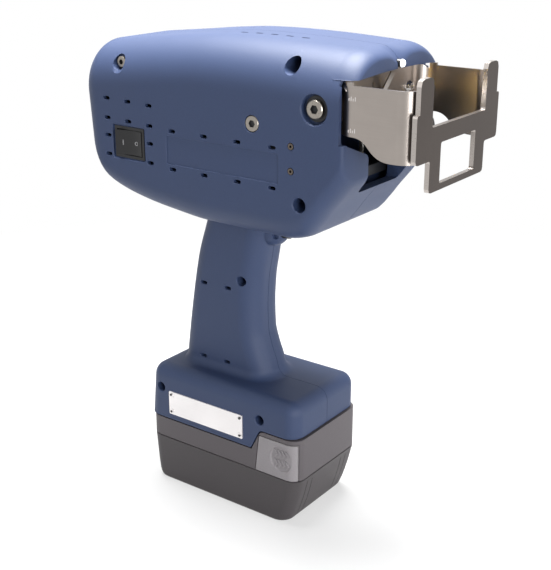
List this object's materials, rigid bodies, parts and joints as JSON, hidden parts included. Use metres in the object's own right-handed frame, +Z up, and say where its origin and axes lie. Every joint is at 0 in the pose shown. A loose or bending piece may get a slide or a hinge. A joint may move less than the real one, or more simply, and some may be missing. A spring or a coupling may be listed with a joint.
{
  "type": "hand-held nameplate marking machine",
  "caption": "Hand-held dot-peen marking machine: moulded head on a pistol grip, rocker switch, steel stand-off guide with contact plate at the nose, and a slide-on battery pack.",
  "frame": {"origin": "middle of the flat underside of the battery pack, on the machine's plane of symmetry", "axes": "+Z up; +X forwards to the marking end and its contact plate; +Y to the machine's left, across its width"},
  "size_m": [0.2587, 0.108, 0.3334],
  "materials": {
    "shell": "matte navy blue moulding with fine spark-eroded grain",
    "bright": "bright zinc-plated or polished steel",
    "sheet": "brushed stainless sheet, grain along the bend",
    "plate_steel": "satin stainless plate with bright edges",
    "machined": "machined aluminium",
    "nose": "light grey bead-blasted aluminium",
    "brass": "polished brass",
    "rating": "satin aluminium plate, left bare",
    "black": "black moulding",
    "switch": "gloss black moulding",
    "motor": "black painted motor can",
    "pane": "dark tinted window",
    "keys": "grey membrane keypad",
    "board": "green circuit board",
    "lens": "clear white lamp lens",
    "pack": "dark grey moulding with fine grain",
    "collar": "grey moulding with fine grain",
    "latch": "mid grey moulding",
    "cell": "sleeved steel can"
  },
  "bodies": {
    "housing": {"right_half": "shell", "left_half": "shell", "case_screw_rear_top": "bright", "case_screw_nose_top": "bright", "case_screw_nose_low": "bright", "case_screw_grip": "bright", "case_screw_foot_rear": "bright", "case_screw_foot_front": "bright", "right_frame_screw": "bright", "left_frame_screw": "bright", "right_clamp_screw": "bright", "left_clamp_screw": "bright", "insert_upper": "bright", "insert_lower": "bright", "rating_plate": "rating", "rocker_frame": "black", "trigger_switch": "black", "control_panel": "black", "display_window": "pane", "keypad": "keys", "control_board": "board", "terminal_block": "black", "power_lead": "black", "slide_frame": "machined", "right_post": "bright", "left_post": "bright", "lift_motor": "motor", "lamp_bracket": "sheet", "lamp_lens": "lens"},
    "guide": {"guide_bracket": "sheet", "contact_plate": "plate_steel", "right_guide_rail": "sheet", "left_guide_rail": "sheet", "right_guide_screw": "bright", "left_guide_screw": "bright"},
    "lift_bridge": {"bridge": "machined", "slide_rod_upper": "bright", "slide_rod_lower": "bright", "cross_motor": "motor"},
    "lift_screw": {"lift_screw": "bright"},
    "cross_screw": {"cross_screw": "bright"},
    "carriage": {"carriage": "machined", "coil_body": "brass", "end_plate_rear": "bright", "end_plate_front": "bright", "stylus_nose": "nose"},
    "stylus": {"stylus": "bright"},
    "battery": {"pack_case": "pack", "pack_collar": "collar", "cell_1": "cell", "cell_2": "cell", "cell_3": "cell", "cell_4": "cell", "cell_5": "cell", "cell_6": "cell", "cell_7": "cell"},
    "latch_right": {"right_latch": "latch"},
    "latch_left": {"left_latch": "latch"},
    "rocker": {"rocker": "switch"},
    "trigger": {"trigger": "black"}
  },
  "joints": [
    {"name": "guide_slide", "type": "slide", "parent": "housing", "child": "guide", "axis": [1, 0, 0], "range_m": [-0.004, 0]},
    {"name": "bridge_lift", "type": "slide", "parent": "housing", "child": "lift_bridge", "axis": [0, 0, 1], "range_m": [-0.02, 0]},
    {"name": "lift_screw_turn", "type": "hinge", "parent": "housing", "child": "lift_screw", "pos_m": [0.04, 0, 0.275], "axis": [0, 0, 1], "range_deg": [0, 1440]},
    {"name": "cross_slide", "type": "slide", "parent": "lift_bridge", "child": "carriage", "axis": [0, 1, 0], "range_m": [0, 0.03]},
    {"name": "cross_screw_turn", "type": "hinge", "parent": "lift_bridge", "child": "cross_screw", "pos_m": [0.059, 0, 0.2835], "axis": [0, 1, 0], "range_deg": [-2160, 0]},
    {"name": "stylus_strike", "type": "slide", "parent": "carriage", "child": "stylus", "axis": [1, 0, 0], "range_m": [0, 0.004], "stiffness_N_per_m": 300, "springref_m": -0.002},
    {"name": "pack_slide", "type": "slide", "parent": "housing", "child": "battery", "axis": [1, 0, 0], "range_m": [0, 0.095]},
    {"name": "latch_right_press", "type": "slide", "parent": "battery", "child": "latch_right", "axis": [0, 1, 0], "range_m": [0, 0.003], "stiffness_N_per_m": 1500, "springref_m": -0.001},
    {"name": "latch_left_press", "type": "slide", "parent": "battery", "child": "latch_left", "axis": [0, -1, 0], "range_m": [0, 0.003], "stiffness_N_per_m": 1500, "springref_m": -0.001},
    {"name": "rocker_tilt", "type": "hinge", "parent": "housing", "child": "rocker", "pos_m": [-0.0615, -0.0485, 0.2565], "axis": [0, 0, -1], "range_deg": [0, 16]},
    {"name": "trigger_pull", "type": "slide", "parent": "housing", "child": "trigger", "axis": [-1, 0, 0], "range_m": [0, 0.0035], "stiffness_N_per_m": 900, "springref_m": -0.001}
  ],
  "couplings": [
    {"joint": "lift_screw_turn", "follows": "bridge_lift", "rad_per_m": -1256.6},
    {"joint": "cross_screw_turn", "follows": "cross_slide", "rad_per_m": -1256.6}
  ]
}
